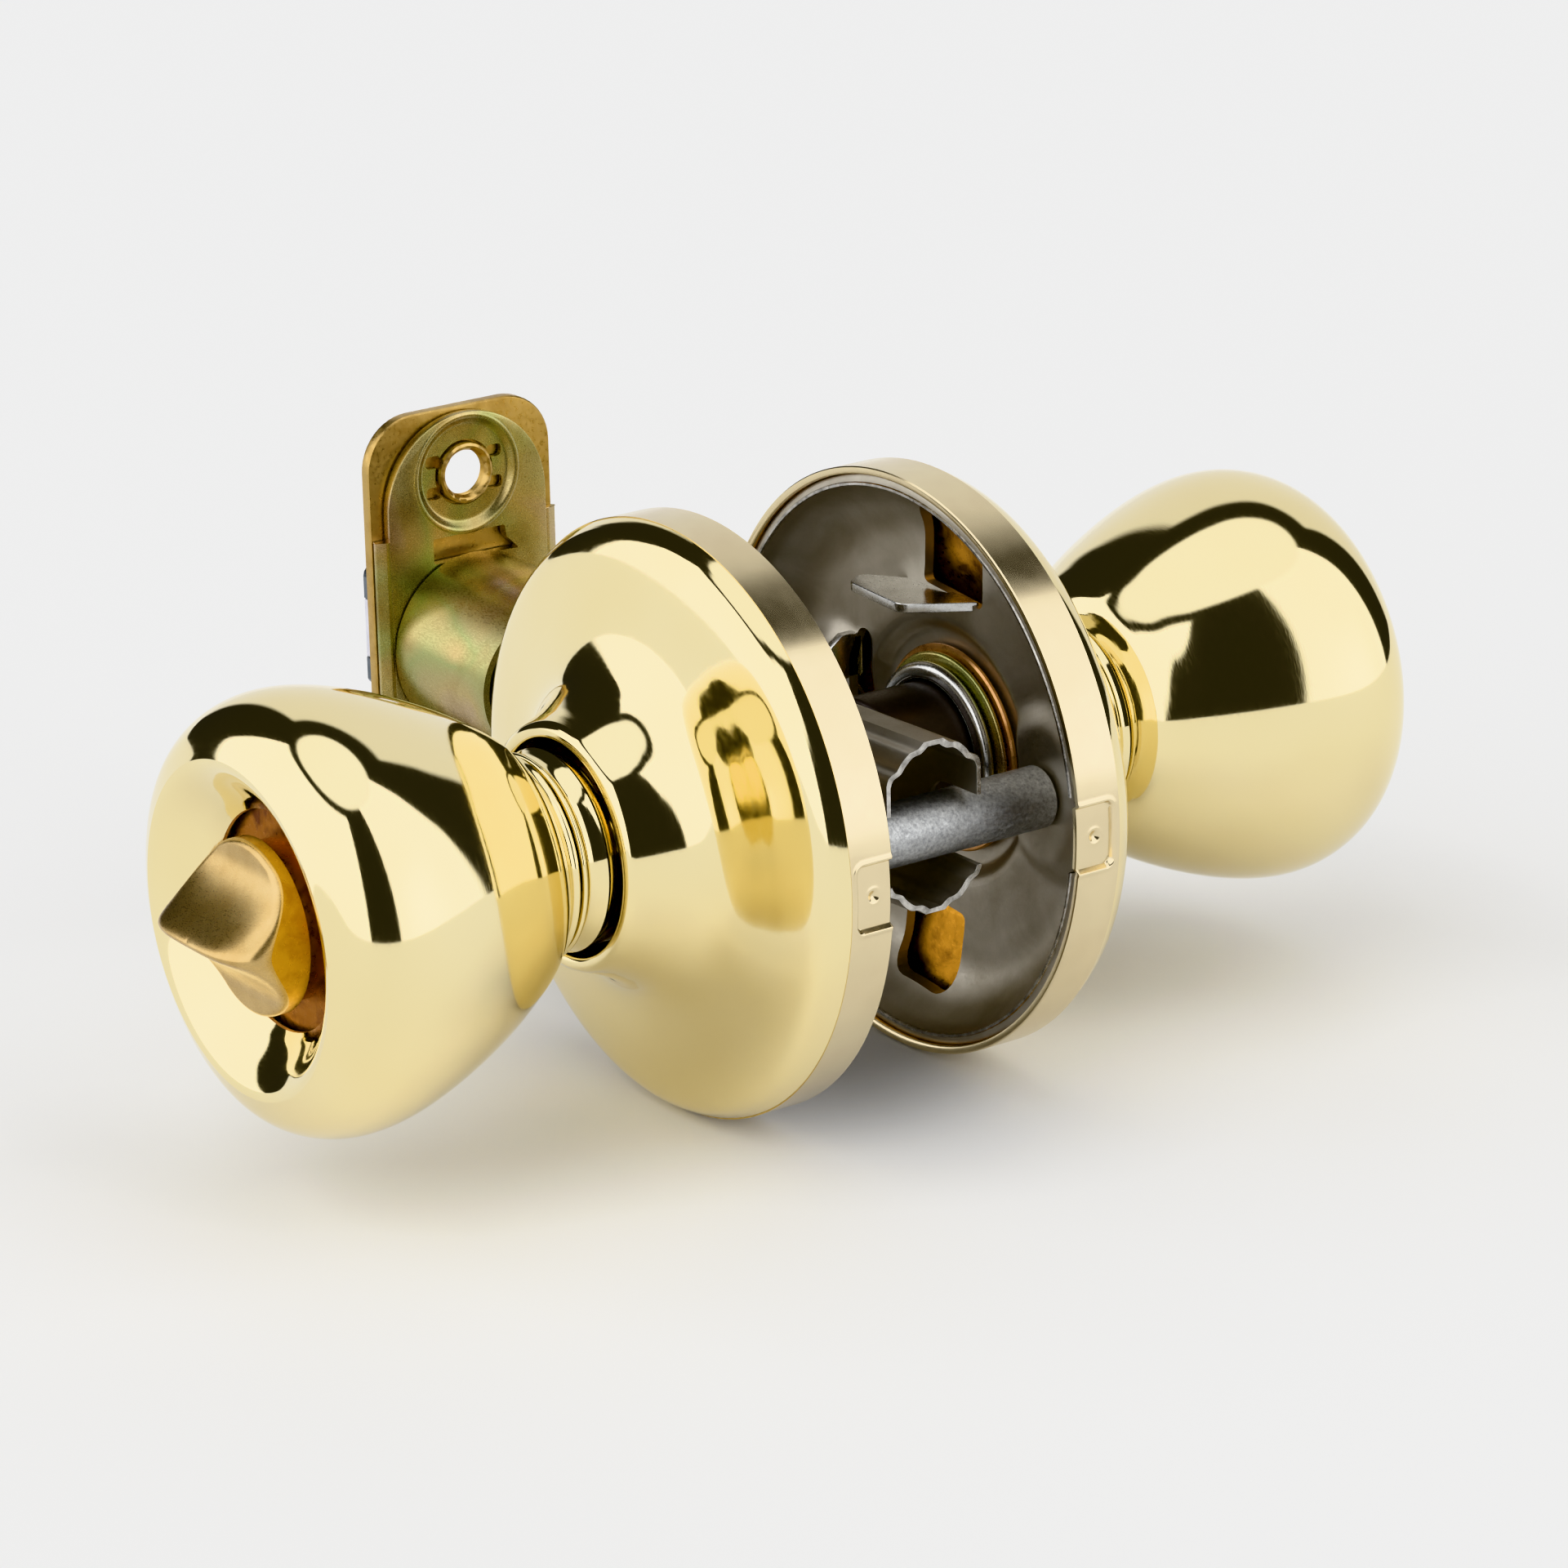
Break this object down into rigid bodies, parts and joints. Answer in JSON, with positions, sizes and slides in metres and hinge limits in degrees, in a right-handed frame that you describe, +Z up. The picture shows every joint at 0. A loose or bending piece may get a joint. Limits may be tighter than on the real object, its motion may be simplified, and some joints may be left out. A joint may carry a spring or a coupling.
{
  "type": "door knob",
  "caption": "Tubular privacy door knob set: two egg-shaped knobs on round dished roses, turn button on the interior knob and a spring latch.",
  "frame": {"origin": "crossing of the knob axis and the latch axis, the centre of the door's cross bore", "axes": "+Z up; Y along the knob axis with the interior knob and turn button at -Y; latch axis along X with the bolt pointing to -X"},
  "size_m": [0.1132, 0.1507, 0.0668],
  "materials": {
    "polished_brass": "polished",
    "satin_brass": "satin",
    "lacquered_brass": "lacquered",
    "grey_steel": "plain stamped",
    "bright_steel": "bright",
    "dark_steel": "blackened",
    "cast_steel": "grey cast",
    "dichromate_steel": "yellow dichromate plated",
    "copper": "copper washed",
    "grey_nylon": "smooth"
  },
  "bodies": {
    "chassis": {"exterior_rose": "polished_brass", "exterior_mounting_plate": "grey_steel", "exterior_hub_bush": "dichromate_steel", "exterior_thrust_washer": "copper", "exterior_return_spring": "bright_steel", "interior_rose": "polished_brass", "interior_mounting_plate": "grey_steel", "interior_hub_bush": "dichromate_steel", "interior_thrust_washer": "copper", "interior_return_spring": "bright_steel", "post_near": "cast_steel", "post_far": "cast_steel", "mounting_screw_near": "bright_steel", "mounting_screw_far": "bright_steel", "latch_faceplate": "lacquered_brass", "latch_backplate": "dichromate_steel", "latch_tube": "dichromate_steel", "latch_case": "grey_steel", "spring_seat": "grey_steel", "latch_spring": "bright_steel"},
    "interior_knob": {"interior_knob_shell": "polished_brass", "interior_knob_neck": "polished_brass", "interior_knob_core": "grey_steel", "interior_knob_insert": "grey_steel", "interior_drive_tube": "dark_steel", "interior_retaining_ring": "bright_steel"},
    "exterior_knob": {"exterior_knob_shell": "polished_brass", "exterior_knob_neck": "polished_brass", "exterior_knob_core": "grey_steel", "exterior_drive_tube": "dark_steel", "exterior_retaining_ring": "bright_steel", "spindle": "dark_steel"},
    "turn_button": {"turn_button": "satin_brass", "lock_bar": "grey_steel"},
    "latch_cam": {"latch_cam": "dichromate_steel"},
    "latch_bolt": {"latch_bolt": "cast_steel", "bolt_insert": "grey_nylon", "bolt_tailpiece": "grey_steel"}
  },
  "joints": [
    {"name": "interior_knob_turn", "type": "hinge", "parent": "chassis", "child": "interior_knob", "pos_m": [0, 0, 0], "axis": [0, 1, 0], "range_deg": [0, 70], "stiffness_Nm_per_rad": 0.12},
    {"name": "exterior_knob_turn", "type": "hinge", "parent": "chassis", "child": "exterior_knob", "pos_m": [0, 0, 0], "axis": [0, 1, 0], "range_deg": [0, 70], "stiffness_Nm_per_rad": 0.12},
    {"name": "latch_cam_turn", "type": "hinge", "parent": "chassis", "child": "latch_cam", "pos_m": [0, 0, 0], "axis": [0, 1, 0], "range_deg": [0, 70]},
    {"name": "latch_bolt_slide", "type": "slide", "parent": "chassis", "child": "latch_bolt", "axis": [1, 0, 0], "range_m": [0, 0.0096], "stiffness_N_per_m": 250, "deforming": ["latch_spring"]},
    {"name": "turn_button_turn", "type": "hinge", "parent": "interior_knob", "child": "turn_button", "pos_m": [0, 0, 0], "axis": [0, -1, 0], "range_deg": [0, 90]}
  ],
  "couplings": [
    {"joint": "exterior_knob_turn", "follows": "interior_knob_turn", "ratio": 1},
    {"joint": "latch_cam_turn", "follows": "interior_knob_turn", "ratio": 1},
    {"joint": "latch_bolt_slide", "follows": "interior_knob_turn", "m_per_rad": 0.007857}
  ]
}
